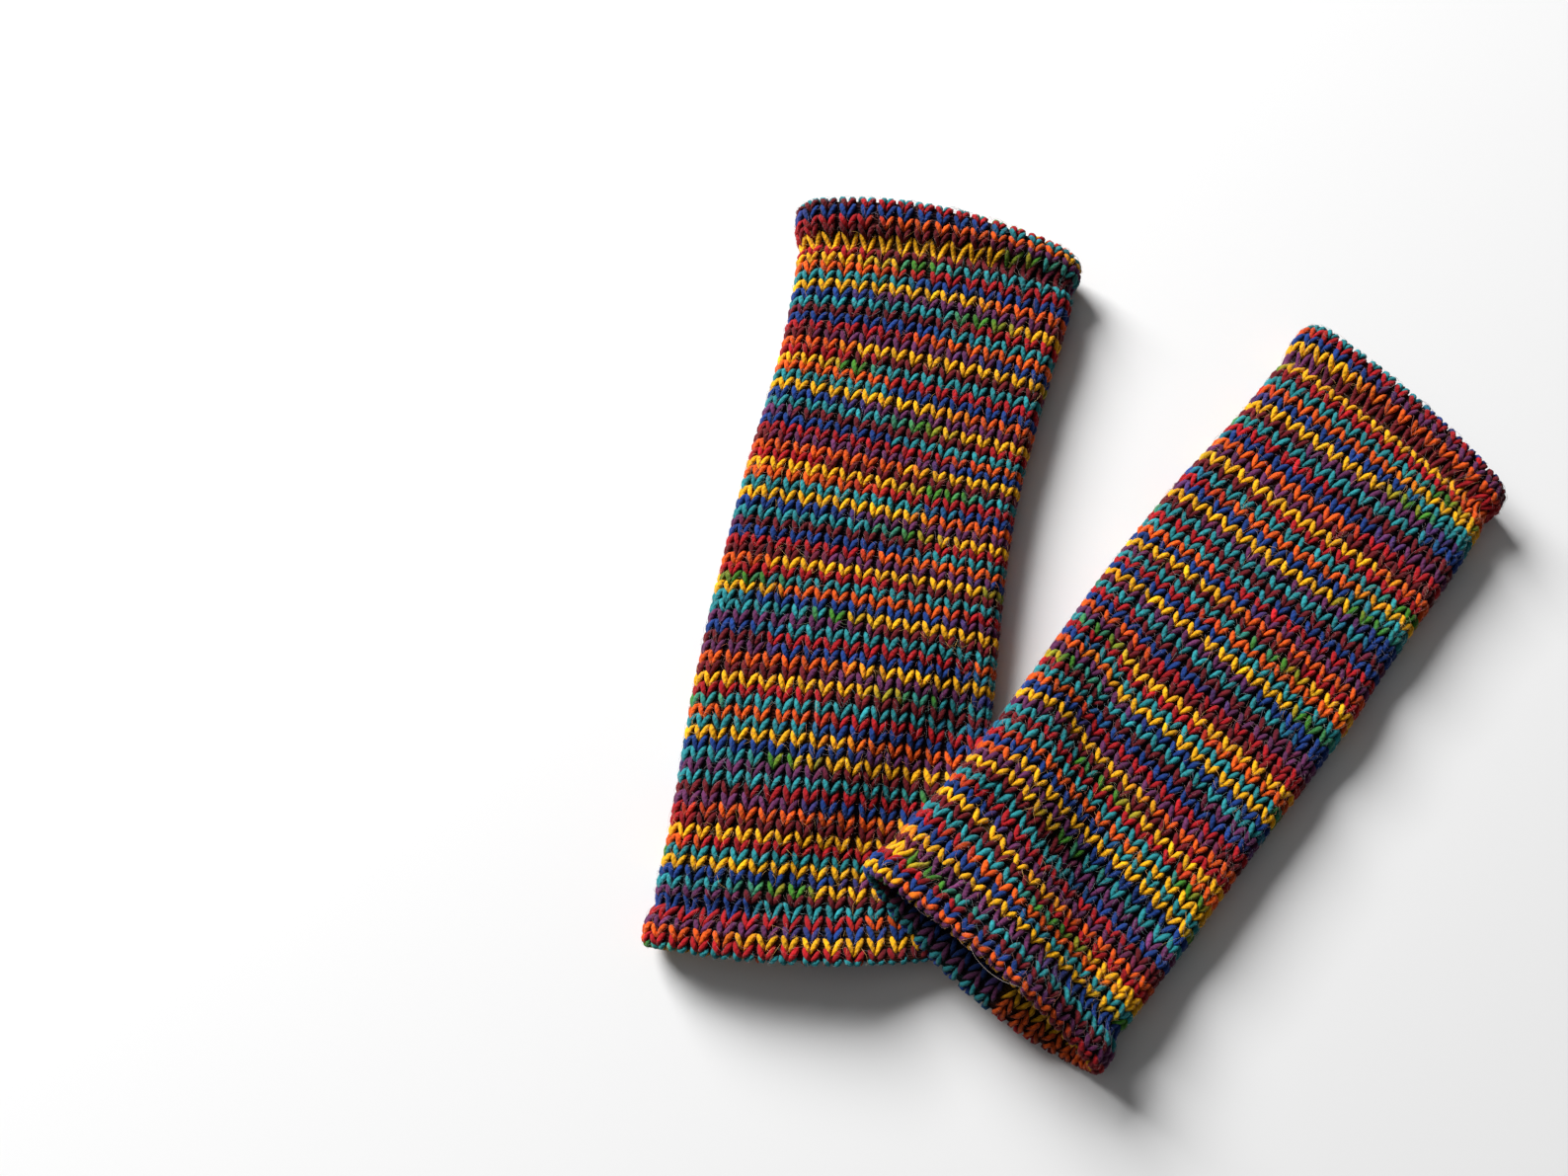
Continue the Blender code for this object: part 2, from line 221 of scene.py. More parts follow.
def smooth_lookup(where, places, values):
    """Read a smooth curve through (places, values): a cubic in each step, with averaged slopes."""
    slopes = np.gradient(values, places)
    step, span, part = find_step(where, places)
    start, end = slopes[step] * span, slopes[step + 1] * span
    return cubic(values[step], values[step + 1], start, end, part)


def smooth_across(where, places, values):
    """As smooth_lookup, for a table whose values are themselves arrays, one for each place."""
    slopes = np.gradient(values, places, axis=0)
    step, span, part = find_step(where, places)
    low, high = step[None], step[None] + 1
    first = np.take_along_axis(values, low, axis=0)[0]
    last = np.take_along_axis(values, high, axis=0)[0]
    start = np.take_along_axis(slopes, low, axis=0)[0] * span
    end = np.take_along_axis(slopes, high, axis=0)[0] * span
    return cubic(first, last, start, end, part)


def smooth_step(value):
    """Rise smoothly from 0 to 1 while the value goes from 0 to 1."""
    value = np.clip(value, 0.0, 1.0)
    return value * value * (3.0 - 2.0 * value)


class Warmer:
    """One arm warmer's form: its sections, heights and creases, read at any place."""

    def __init__(self, side, sections, heights, creases, drift):
        self.side = side
        self.first = FIRST_ROW[side]
        self.rows = ROW_COUNT[side]
        self.drift = np.array(drift)
        self.creases = creases
        self.table = dict(zip(SECTION_COLUMNS, np.array(sections).T))
        steps = np.hypot(np.diff(self.table["x"]), np.diff(self.table["y"]))
        self.places = np.concatenate([[0.0], np.cumsum(steps)])
        self.length = self.places[-1]
        columns = dict(zip(HEIGHT_COLUMNS, np.array(heights).T))
        self.height_places = columns["along"] * self.length / columns["along"][-1]
        self.height_extra = columns["extra"]
        lip_arc = np.pi * HEM_WALL / 4.0
        self.cloth_length = self.length - HEM_WALL + 2.0 * lip_arc
        self.row_height = self.cloth_length / self.rows

    def read(self, name, along):
        """Read one column of the sections at a distance along the tube."""
        return smooth_lookup(along, self.places, self.table[name])

    def height(self, along):
        """The tube's height before it is pressed."""
        return TUBE_HEIGHT + smooth_lookup(along, self.height_places, self.height_extra)

    def flat_place(self, along, across, layer):
        """Turn a place along and across the cloth into x and y. Layer is 0 under and 1 on top."""
        turn = np.radians(self.read("turn", along))
        width = self.read("width", along)
        bow = layer * self.read("bow_top", along) + (1.0 - layer) * self.read("bow_under", along)
        bow = bow * (1.0 - np.clip(2.0 * across / width, -1.0, 1.0) ** 2)
        x = self.read("x", along) + across * np.cos(turn) + bow * np.sin(turn)
        y = self.read("y", along) + across * np.sin(turn) - bow * np.cos(turn)
        return x, y

    def edge(self, side):
        """Points of one long edge of the outline, seen from above. Side is -1 left and 1 right."""
        along = np.linspace(0.0, self.length, EDGE_POINTS)
        return self.flat_place(along, side * self.read("width", along) / 2.0, 0.5)


LEFT = Warmer("left", LEFT_SECTIONS, LEFT_HEIGHTS, LEFT_CREASES, LEFT_DRIFT)
RIGHT = Warmer("right", RIGHT_SECTIONS, RIGHT_HEIGHTS, RIGHT_CREASES, RIGHT_DRIFT)
for warmer in (LEFT, RIGHT):
    print(warmer.side, "length", round(warmer.length, 1), "row height", round(warmer.row_height, 2))

# %% [markdown]
# A section is a flattened ring: two straight layers joined by half circles at the side folds. The
# right warmer lies on the corner of the left one, so one function lifts it and another presses the
# left one down, and both fade smoothly so that the cloth drapes.


# %% From a place on the cloth to a point in space
def ring(turn_round, width, height, inset):
    """Flattened ring. On a fold the place sweeps half a circle, and on a layer it moves along a line."""
    radius = height / 2.0
    half_line = width / 2.0 - radius
    reach = radius - inset
    place = np.mod(turn_round, FULL_TURN)
    part = np.mod(place, 1.0)
    on = [place < TOP_START, place < TOP_END, place < UNDER_START]
    round_out = reach * np.sin(np.pi * part)
    round_up = reach * np.cos(np.pi * part)
    along_line = half_line * (2.0 * part - 1.0)
    sides = [-half_line - round_out, along_line, half_line + round_out]
    across = np.select(on, sides, -along_line)
    up = np.select(on, [radius - round_up, height - inset, radius + round_up], inset)
    return across, up


def crease_depth(warmer, x, y):
    """Depth of the soft troughs at a place: a bell across each trough, fading past its ends."""
    depth = np.zeros_like(x)
    for x0, y0, x1, y1, half_width, deep in warmer.creases:
        length = np.hypot(x1 - x0, y1 - y0)
        run = ((x - x0) * (x1 - x0) + (y - y0) * (y1 - y0)) / length
        aside = ((x - x0) * (y1 - y0) - (y - y0) * (x1 - x0)) / length
        past = np.maximum(0.0, np.maximum(-run, run - length))
        depth += deep * np.exp(-((aside**2 + past**2) / half_width**2))
    return depth


def lift_over_left(x, y):
    """Height of what the right warmer lies on: the pressed left one, then a smooth fall to 0."""
    edge_x, edge_y = LEFT.edge(1)
    order = np.argsort(edge_y)
    nearest_x = np.interp(y, edge_y[order], edge_x[order]) + HEM_SWELL
    beside = np.maximum(0.0, x - nearest_x)
    below = np.maximum(0.0, edge_y.min() - HEM_LENGTH / 2.0 - y)
    away = np.clip(np.hypot(beside, below) / DRAPE_REACH, 0.0, 1.0)
    return (PRESSED_HEIGHT + SEAM_GAP) * (1.0 - away**2) ** 2


def press_under_right(x, y):
    """How far the left warmer is pressed flat: 1 under the right one, fading to 0 around it."""
    edge_x, edge_y = RIGHT.edge(-1)
    corner_x, corner_y = edge_x[-1], edge_y[-1]
    upper_x, upper_y = edge_x[len(edge_x) // 2], edge_y[len(edge_y) // 2]
    length = np.hypot(upper_x - corner_x, upper_y - corner_y)
    along_x, along_y = (upper_x - corner_x) / length, (upper_y - corner_y) / length
    inside_edge = (x - corner_x) * along_y - (y - corner_y) * along_x
    inside_lip = (x - corner_x) * along_x + (y - corner_y) * along_y
    inside = np.minimum(inside_edge, inside_lip)
    return smooth_step((inside + PRESS_MARGIN + PRESS_FADE) / PRESS_FADE)


def tube_point(warmer, along, turn_round, inset, swell, aside):
    """A point of the tube, in millimetres: its section, its crown and creases, and what lifts it."""
    width = warmer.read("width", along) + 2.0 * swell
    height = warmer.height(along) + 2.0 * swell
    across, up = ring(turn_round, width, height, inset)
    across = across + aside
    layer = smooth_step(up / height)
    x, y = warmer.flat_place(along, across, layer)
    press = press_under_right(x, y) if warmer is LEFT else 0.0
    lift = 0.0 if warmer is LEFT else lift_over_left(x, y)
    crown = CROWN * (1.0 - press) * (1.0 - (2.0 * across / width) ** 2)
    up = up + layer * (crown - crease_depth(warmer, x, y))
    up = up * (1.0 - press * (1.0 - PRESSED_HEIGHT / height)) + lift
    return np.stack([x - PAIR_MIDDLE[0], y - PAIR_MIDDLE[1], up], axis=-1)


# %% [markdown]
# Knitting is counted, so the cloth gets its own coordinates: rows from the upper lip towards the
# hand end, and stitches round the tube from the left fold over the top. A row below 0 or past the
# last one has gone round the lip and lies on the inside of the hem.


# %% Cloth coordinates: rows and stitches
SLOPE_STEP = 0.05
SHORTEST = 1e-9


def turn_at(stitch, width, height):
    """Place round the section of a stitch number, spaced evenly along the ring's outline."""
    line = width - height
    arc = np.pi * height / 2.0
    outline = 2.0 * (line + arc)
    run = np.mod(stitch / STITCHES * outline + arc / 2.0, outline)
    starts = [0.0 * arc, arc, arc + line, 2.0 * arc + line]
    on = [run < starts[1], run < starts[2], run < starts[3]]
    places = [run / arc, TOP_START + (run - starts[1]) / line, TOP_END + (run - starts[2]) / arc]
    return np.select(on, places, UNDER_START + (run - starts[3]) / line)


def seam_stitch(warmer):
    """Stitch number at which the long seam lies, on the underside."""
    width = np.median(warmer.table["width"])
    top_share = width / (2.0 * width + FOLDS_SHARE * width)
    return UNDER_MIDDLE_STITCH - SEAM_SHARE[warmer.side] * STITCHES * top_share


def row_drift(warmer, row, stitch):
    """How far the knitting is shifted down the tube there, in millimetres, from the drift table."""
    edge = UNDER_MIDDLE_STITCH
    turned = np.mod(stitch + STITCHES - edge, STITCHES) + edge - STITCHES
    places = np.array((edge - STITCHES,) + DRIFT_STITCHES + (edge,))
    rows, shifts = warmer.drift[:, 0], warmer.drift[:, 1:].T
    columns = [smooth_lookup(row, rows, shift) for shift in shifts]
    values = np.stack(columns[-1:] + columns)
    return DRIFT_ROW_HEIGHT * smooth_across(turned, places, values)


def cloth_point(warmer, row, stitch):
    """A point on the face of the cloth, carried round the lip and into the hem's facing."""
    lip = HEM_WALL / 2.0
    lip_arc = np.pi * lip / 2.0
    run = row * warmer.row_height + row_drift(warmer, row, stitch)
    from_end = np.minimum(run, warmer.cloth_length - run)
    bend = np.clip(from_end, -lip_arc, lip_arc) / lip
    from_lip = lip * (1.0 - np.cos(bend)) + np.maximum(np.abs(from_end) - lip_arc, 0.0)
    inset = lip * (1.0 - np.sin(bend))
    along = np.where(run < warmer.cloth_length / 2.0, from_lip, warmer.length - from_lip)
    on_face = from_end > 0.0
    swell = HEM_SWELL * (1.0 - smooth_step((from_lip - HEM_LENGTH + HEM_EASE) / HEM_EASE))
    past_hem = (from_lip - HEM_LENGTH - GROOVE_PAST_HEM) / GROOVE_REACH
    groove = GROOVE_DEPTH * np.exp(-(past_hem**2))
    swell = np.where(on_face, swell - groove, HEM_SWELL)
    width = warmer.read("width", along) + 2.0 * swell
    height = warmer.height(along) + 2.0 * swell
    turn_round = turn_at(stitch, width, height)
    parted = SEAM_GAP / 2.0 + slit_half_gape(warmer, along)
    seam_turn = UNDER_MIDDLE - SEAM_SHARE[warmer.side]
    right_share = np.clip((turn_round - UNDER_START) / (seam_turn - UNDER_START), 0.0, 1.0)
    left_share = np.clip((FULL_TURN - turn_round) / (FULL_TURN - seam_turn), 0.0, 1.0)
    under = turn_round > UNDER_START
    from_right = stitch > FACE_MIDDLE_STITCH
    aside = np.where(under, np.where(from_right, right_share, -left_share), 0.0) * parted
    return tube_point(warmer, along, turn_round, inset, swell, aside)


def slit_half_gape(warmer, along):
    """Half the width of the thumb slit: a lens that closes at both ends."""
    middle = warmer.length - SLIT_FROM_HAND_END
    return SLIT_GAPE / 2.0 * np.clip(1.0 - (2.0 * (along - middle) / SLIT_LENGTH) ** 2, 0.0, 1.0)


def unit(vectors):
    """Vectors scaled to length 1."""
    return vectors / np.maximum(np.linalg.norm(vectors, axis=-1, keepdims=True), SHORTEST)


def cloth_frame(warmer, row, stitch):
    """A point of the cloth with its outward normal, from small steps along a row and a column."""
    near = SLOPE_STEP
    along = cloth_point(warmer, row + near, stitch) - cloth_point(warmer, row - near, stitch)
    across = cloth_point(warmer, row, stitch + near) - cloth_point(warmer, row, stitch - near)
    return cloth_point(warmer, row, stitch), unit(np.cross(along, across))


middle_point, middle_normal = cloth_frame(LEFT, np.array([40.0]), np.array([9.0]))
print("middle of the left warmer:", middle_point.round(1), "normal:", middle_normal.round(2))

# %% [markdown]
# ## The yarn's colours
#
# The yarn is dyed in a repeat about 82 stitches long. It is knitted to and fro, so odd rows use it
# from one side and even rows from the other. Twelve rows take five repeats, and that is why nearly
# the same stripes come back every twelve rows. A stitch's colour is read at its place along the
# yarn, so the stripes break and shift just as they do in the knitting. The dye is a little uneven,
# and the tables say where the yarn stands at the left fold of a few rows.

# %% Colour repeat of the yarn
REPEAT_STITCHES = 81.6
REPEAT_ROWS = 12.0
DYE_COLUMNS = ("name", "hex", "stitches")
DYES = (
    ("yellow", "E5A412", 13.9),
    ("green", "3E7825", 2.9),
    ("teal", "268087", 14.2),
    ("blue", "193777", 11.8),
    ("purple", "5C2950", 9.8),
    ("maroon", "63161D", 11.4),
    ("red", "A0161D", 12.3),
    ("orange", "D35113", 10.1),
)
BLEND_STITCHES = 0.9


def linear(hex_colour):
    """Turn an sRGB hex colour into the linear values that shaders use."""
    values = np.array([int(hex_colour[i : i + 2], 16) for i in (0, 2, 4)]) / 255.0
    return np.where(values <= 0.04045, values / 12.92, ((values + 0.055) / 1.055) ** 2.4)


def dye_knots():
    """Places and colours along one repeat, each colour held flat and blended at its ends."""
    lengths = dict(zip(DYE_COLUMNS, zip(*DYES)))["stitches"]
    total = sum(lengths)
    place = -lengths[0] / 2.0
    places, colours = [], []
    for name, hex_colour, stitches in DYES:
        places += [place + BLEND_STITCHES, place + stitches - BLEND_STITCHES]
        colours += [linear(hex_colour)] * 2
        place += stitches
    return np.array(places) / total, np.array(colours)


def yarn_colour(cycle):
    """Colour at a place along the yarn, in repeats of the dye."""
    places, colours = dye_knots()
    places = np.concatenate([places - 1.0, places, places + 1.0])
    colours = np.concatenate([colours] * 3)
    cycle = np.mod(cycle, 1.0)
    return np.stack([np.interp(cycle, places, colours[:, k]) for k in range(3)], axis=-1)


# Each pair is a row and the place along the yarn at its left fold, in repeats of the dye
YARN_AT_FOLD = {
    "left": {
        "even": (
            (0, -0.38), (2, -0.26), (4, -0.07), (6, 0.01), (18, 1.04), (30, 1.95), (42, 3.07),
            (46, 3.42), (50, 3.81), (54, 4.10), (58, 4.29), (60, 4.43), (62, 4.60), (64, 4.77),
            (66, 4.92), (70, 5.29), (74, 5.67), (76, 5.855), (78, 6.10),
        ),
        "odd": (
            (-1, -0.75), (1, -0.58), (3, -0.32), (5, -0.28), (7, -0.12), (11, 0.24), (23, 1.22),
            (35, 2.23), (43, 2.97), (45, 3.19), (59, 4.17), (61, 4.27), (63, 4.51), (65, 4.675),
            (67, 4.83), (69, 5.06), (71, 5.18), (75, 5.51), (77, 5.80),
        ),
    },
    "right": {
        "even": (
            (2, -0.66), (4, -0.51), (6, -0.37), (10, -0.05), (14, 0.27), (22, 0.93), (24, 1.11),
            (26, 1.18), (28, 1.31), (34, 1.92), (44, 2.87), (46, 3.07), (56, 3.78), (60, 4.00),
            (62, 4.16), (68, 4.75), (72, 5.05), (74, 5.29), (76, 5.40),
        ),
        "odd": (
            (3, -0.01), (5, 0.09), (7, 0.26), (17, 1.08), (19, 1.29), (29, 2.01), (31, 2.23),
            (39, 2.86), (41, 3.13), (51, 4.04), (53, 4.19), (55, 4.28), (59, 4.52), (61, 4.64),
            (63, 4.82), (65, 5.03), (67, 5.22), (73, 5.72), (75, 5.96),
        ),
    },
}


def place_at_fold(table, row):
    """Read a table of (row, place) pairs, going on past its ends at a repeat every twelve rows."""
    rows, places = np.array(table, dtype=float).T
    before = np.minimum(row - rows[0], 0.0) / REPEAT_ROWS
    after = np.maximum(row - rows[-1], 0.0) / REPEAT_ROWS
    return np.interp(row, rows, places) + before + after


def yarn_cycle(warmer, row, stitch):
    """Place along the yarn, in repeats, of a stitch of a whole-numbered row."""
    tables = YARN_AT_FOLD[warmer.side]
    even_row = place_at_fold(tables["even"], row) + stitch / REPEAT_STITCHES
    odd_row = place_at_fold(tables["odd"], row) - stitch / REPEAT_STITCHES
    return np.where(np.mod(row, 2) > 0.5, odd_row, even_row)


print("yellow at the middle of the repeat:", yarn_colour(np.array([0.0])).round(3))

# %% [markdown]
# ## Making meshes from arrays
#
# Thousands of stitches are far too many for Blender's operators, so each mesh is filled straight
# from numpy arrays. Quads and triangles are written one after the other into the mesh's loops.


# %% A mesh from arrays
def array_mesh(name, points, quads, triangles=None, colours=None, uv=None):
    """Make a smooth mesh object in metres from points in millimetres and lists of faces."""
    triangles = np.zeros((0, 3), dtype=int) if triangles is None else triangles
    loops = np.concatenate([quads.ravel(), triangles.ravel()]).astype(np.int32)
    quad_starts = np.arange(len(quads)) * 4
    triangle_starts = 4 * len(quads) + np.arange(len(triangles)) * 3
    mesh = bpy.data.meshes.new(name)
    mesh.vertices.add(len(points))
    mesh.vertices.foreach_set("co", (points * MM).astype(np.float32).ravel())
    mesh.loops.add(len(loops))
    mesh.loops.foreach_set("vertex_index", loops)
    mesh.polygons.add(len(quads) + len(triangles))
    starts = np.concatenate([quad_starts, triangle_starts]).astype(np.int32)
    mesh.polygons.foreach_set("loop_start", starts)
    mesh.update(calc_edges=True)
    if colours is not None:
        attribute = mesh.color_attributes.new("yarn_colour", "FLOAT_COLOR", "POINT")
        solid = np.concatenate([colours, np.ones((len(colours), 1))], axis=1)
        attribute.data.foreach_set("color", solid.astype(np.float32).ravel())
    if uv is not None:
        layer = mesh.uv_layers.new(name="yarn")
        layer.data.foreach_set("uv", uv[loops].astype(np.float32).ravel())
    mesh.shade_smooth()
    piece = bpy.data.objects.new(name, mesh)
    bpy.context.scene.collection.objects.link(piece)
    return piece


def grid_quads(rows, columns):
    """Quads of a grid of points, as point numbers."""
    index = np.arange(rows * columns).reshape(rows, columns)
    corners = [index[:-1, :-1], index[1:, :-1], index[1:, 1:], index[:-1, 1:]]
    return np.stack(corners, axis=-1).reshape(-1, 4)


# %% [markdown]
# ## Materials
#
# Wool has no gloss of its own: light is scattered by a fuzz of fibres, so the yarn is rough with a
# little sheen. Two strands twisted together show as slanting grooves. The ground cloth between the
# stitches is the same wool in shadow, so it takes the same colours, darker.


# %% Wool materials
def add_node(tree, kind, settings=None, links=None):
    """Add a shader node, set its named properties and socket values, and link its inputs."""
    node = tree.nodes.new(kind)
    for key, value in (settings or {}).items():
        if isinstance(key, str) and hasattr(node, key):
            setattr(node, key, value)
        else:
            node.inputs[key].default_value = value
    for socket, source in (links or {}).items():
        tree.links.new(source, node.inputs[socket])
    return node


def wool_shader(name, roughness, sheen):
    """Start a wool material: a rough Principled shader with sheen set on its own sockets."""
    material = bpy.data.materials.new(name)
    material.use_nodes = True
    shader = material.node_tree.nodes["Principled BSDF"]
    shader.inputs["Roughness"].default_value = roughness
    shader.inputs["Specular IOR Level"].default_value = 0.12
    shader.inputs["Sheen Weight"].default_value = sheen
    shader.inputs["Sheen Roughness"].default_value = 0.5
    return material, material.node_tree, shader


def worsted_yarn():
    """Two-ply worsted wool: dyed colour, streaks of lighter fibre, and the twist as a bump."""
    material, tree, shader = wool_shader("worsted_wool_yarn", 0.88, 0.08)
    colour = add_node(tree, "ShaderNodeAttribute", {"attribute_name": "yarn_colour"})
    place = add_node(tree, "ShaderNodeUVMap", {"uv_map": "yarn"})
    stretched = add_node(
        tree, "ShaderNodeMapping", {"Scale": (0.9, 5.0, 1.0)}, {"Vector": place.outputs["UV"]}
    )
    streaks = add_node(
        tree, "ShaderNodeTexNoise", {"Scale": 1.3, "Detail": 4.0, "Roughness": 0.7},
        {"Vector": stretched.outputs[0]},
    )
    shade = add_node(
        tree, "ShaderNodeMapRange",
        {"From Min": 0.3, "From Max": 0.7, "To Min": 0.58, "To Max": 1.3},
        {"Value": streaks.outputs["Fac"]},
    )
    tint = add_node(tree, "ShaderNodeVectorMath", {"operation": "SCALE"}, {"Scale": shade.outputs[0]})
    tree.links.new(colour.outputs["Color"], tint.inputs[0])
    tree.links.new(tint.outputs[0], shader.inputs["Base Color"])
    parts = add_node(tree, "ShaderNodeSeparateXYZ", {}, {"Vector": place.outputs["UV"]})
    twist = add_node(
        tree, "ShaderNodeMath", {"operation": "MULTIPLY", 1: 0.42}, {0: parts.outputs["X"]}
    )
    strand = add_node(
        tree, "ShaderNodeMath", {"operation": "ADD"}, {0: twist.outputs[0], 1: parts.outputs["Y"]}
    )
    angle = add_node(
        tree, "ShaderNodeMath", {"operation": "MULTIPLY", 1: 4.0 * np.pi}, {0: strand.outputs[0]}
    )
    groove = add_node(tree, "ShaderNodeMath", {"operation": "SINE"}, {0: angle.outputs[0]})
    ply = add_node(
        tree, "ShaderNodeBump", {"Strength": 0.22, "Distance": 0.2 * MM}, {"Height": groove.outputs[0]}
    )
    fibre = add_node(
        tree, "ShaderNodeBump", {"Strength": 0.8, "Distance": 0.25 * MM},
        {"Height": streaks.outputs["Fac"], "Normal": ply.outputs[0]},
    )
    metres = add_node(tree, "ShaderNodeTexCoord")
    fluff = add_node(
        tree, "ShaderNodeTexNoise", {"Scale": 1500.0, "Detail": 3.0},
        {"Vector": metres.outputs["Object"]},
    )
    fuzz = add_node(
        tree, "ShaderNodeBump", {"Strength": 0.6, "Distance": 0.2 * MM},
        {"Height": fluff.outputs["Fac"], "Normal": fibre.outputs[0]},
    )
    tree.links.new(fuzz.outputs[0], shader.inputs["Normal"])
    return material


def ground_wool():
    """The backs of the loops, seen between the stitches: the same dyes in shadow, with purl bumps."""
    material, tree, shader = wool_shader("wool_loops_in_shadow", 0.95, 0.05)
    colour = add_node(tree, "ShaderNodeAttribute", {"attribute_name": "yarn_colour"})
    dark = add_node(tree, "ShaderNodeVectorMath", {"operation": "SCALE", "Scale": 0.07})
    tree.links.new(colour.outputs["Color"], dark.inputs[0])
    tree.links.new(dark.outputs[0], shader.inputs["Base Color"])
    place = add_node(tree, "ShaderNodeUVMap", {"uv_map": "yarn"})
    loops = add_node(
        tree, "ShaderNodeTexWave", {"Scale": 1.0, "Distortion": 1.5, "bands_direction": "Y"},
        {"Vector": place.outputs["UV"]},
    )
    bump = add_node(
        tree, "ShaderNodeBump", {"Strength": 0.8, "Distance": 0.8 * MM}, {"Height": loops.outputs["Fac"]}
    )
    tree.links.new(bump.outputs[0], shader.inputs["Normal"])
    return material


def loose_fibre():
    """Single wool hairs: the yarn's colour, paler, because a thin hair lets light through."""
    material, tree, shader = wool_shader("loose_wool_fibre", 0.7, 0.3)
    colour = add_node(tree, "ShaderNodeAttribute", {"attribute_name": "yarn_colour"})
    tree.links.new(colour.outputs["Color"], shader.inputs["Base Color"])
    return material


YARN = worsted_yarn()
GROUND = ground_wool()
FIBRE = loose_fibre()
print("materials:", [material.name for material in (YARN, GROUND, FIBRE)])

# %% [markdown]
# ## The ground cloth
#
# The panel is knitted flat, folded into a tube and sewn, with the thumb slit left open in the seam.
# The ground is that panel as a thin sheet just under the stitches. Its two long edges meet at the
# seam underneath, and its ends run round the lips into the hems.

# %% Ground cloth of each warmer
GROUND_STEPS_PER_ROW = 1.5
GROUND_STEPS_PER_STITCH = 2


def ground_cloth(warmer):
    """The panel: a grid in rows and stitches, set back from the face of the cloth, given a wall."""
    first_row = warmer.first - FACING_ROWS - 0.5
    last_row = warmer.rows + FACING_ROWS + 0.5
    steps = int((last_row - first_row) * GROUND_STEPS_PER_ROW) + 1
    rows = np.linspace(first_row, last_row, steps)
    end = seam_stitch(warmer)
    stitches = np.linspace(end - STITCHES, end, STITCHES * GROUND_STEPS_PER_STITCH + 1)
    row, stitch = np.meshgrid(rows, stitches, indexing="ij")
    points, normals = cloth_frame(warmer, row, stitch)
    points = points - normals * GROUND_DEPTH
    colours = yarn_colour(yarn_cycle(warmer, np.floor(row), stitch))
    uv = np.stack([stitch, row], axis=-1)
    piece = array_mesh(
        warmer.side + "_knitted_panel", points.reshape(-1, 3), grid_quads(len(rows), len(stitches)),
        colours=colours.reshape(-1, 3), uv=uv.reshape(-1, 2),
    )
    wall = piece.modifiers.new("cloth", "SOLIDIFY")
    wall.thickness = GROUND_THICKNESS * MM
    wall.offset = -1.0
    piece.data.materials.append(GROUND)
    return piece


panels = {warmer.side: ground_cloth(warmer) for warmer in (LEFT, RIGHT)}
print("ground cloth:", {side: len(piece.data.polygons) for side, piece in panels.items()})

# %% [markdown]
# ## The stitches
#
# Each V is two legs of yarn. A leg starts low between the legs of the next row, rises over the face,
# spreads outwards and dives under the row above. So a leg is a short tube along a curved path, thick
# in the middle and thin at both ends, and all legs of a warmer are worked out together. The cloth
# turned in at the hems lies in the dark of the tube, and painted shade darkens its colour.

# %% One stitch's shape, in stitch widths, rows and yarn thickness
LEG_COLUMNS = ("share", "aside", "down", "depth", "thickness")
LEG = (
    (0.00, 0.03, 0.90, 2.00, 0.30),
    (0.14, 0.06, 0.68, 1.30, 0.68),
    (0.36, 0.15, 0.34, 0.88, 0.96),
    (0.60, 0.25, -0.08, 0.84, 1.06),
    (0.84, 0.34, -0.46, 1.10, 0.88),
    (1.00, 0.39, -0.72, 2.00, 0.36),
)
LEAN = 0.05

# The yarn lies a little flattened, and its tips are short points. From row to row its twist is
# shifted by this many millimetres
YARN_WIDE, YARN_HIGH = 0.94, 0.9
TIP_LENGTH = 0.2
TWIST_SHIFT = 7.0
# Painted shade: the stitches inside the hems have their colour multiplied by 0.55, and the face by 1.0
FACE_TONE, FACING_PAINTED_SHADE = 1.0, 0.55

# Hand knitting is uneven. Each value is the spread of a random draw, one for each leg or point
SIZE_SPREAD = 0.06
PLACE_SPREAD = 0.035
OPENING_SPREAD = 0.10
DEPTH_SPREAD = 0.08
SURFACE_SPREAD = 0.07
DYE_SPREAD = 0.007
TONE_SPREAD = 0.16


def leg_paths(shares):
    """Read the leg's table at chosen shares of its path."""
    columns = dict(zip(LEG_COLUMNS, np.array(LEG).T))
    return [np.interp(shares, columns["share"], columns[name]) for name in LEG_COLUMNS[1:]]


def leg_faces(count, steps, sides):
    """Faces of many legs: quads along each tube, and a fan of triangles to a tip at both ends."""
    index = np.arange(steps * sides).reshape(steps, sides)
    around = np.roll(index, -1, axis=1)
    quads = np.stack([index[:-1], around[:-1], around[1:], index[1:]], axis=-1).reshape(-1, 4)
    start_tip = np.full(sides, steps * sides)
    end_tip = start_tip + 1
    first = np.stack([around[0], index[0], start_tip], axis=-1)
    last = np.stack([index[-1], around[-1], end_tip], axis=-1)
    triangles = np.concatenate([first, last])
    offset = (np.arange(count) * (steps * sides + 2))[:, None, None]
    all_quads = (quads[None] + offset).reshape(-1, 4)
    all_triangles = (triangles[None] + offset).reshape(-1, 3)
    return all_quads, all_triangles


def leg_places(centre, row, angles):
    """Place of every point on its yarn: millimetres along it, and turns round it."""
    count = len(centre)
    run = np.linalg.norm(np.diff(centre, axis=1), axis=-1)
    run = np.concatenate([np.zeros((count, 1)), np.cumsum(run, axis=1)], axis=1)
    run = run + TWIST_SHIFT * row[:, None]
    ring_uv = np.stack(np.broadcast_arrays(run[..., None], angles / (2.0 * np.pi)), axis=-1)
    tip_uv = np.stack([run[:, [0, -1]], np.zeros((count, 2))], axis=-1)
    return np.concatenate([ring_uv.reshape(count, -1, 2), tip_uv], axis=1)


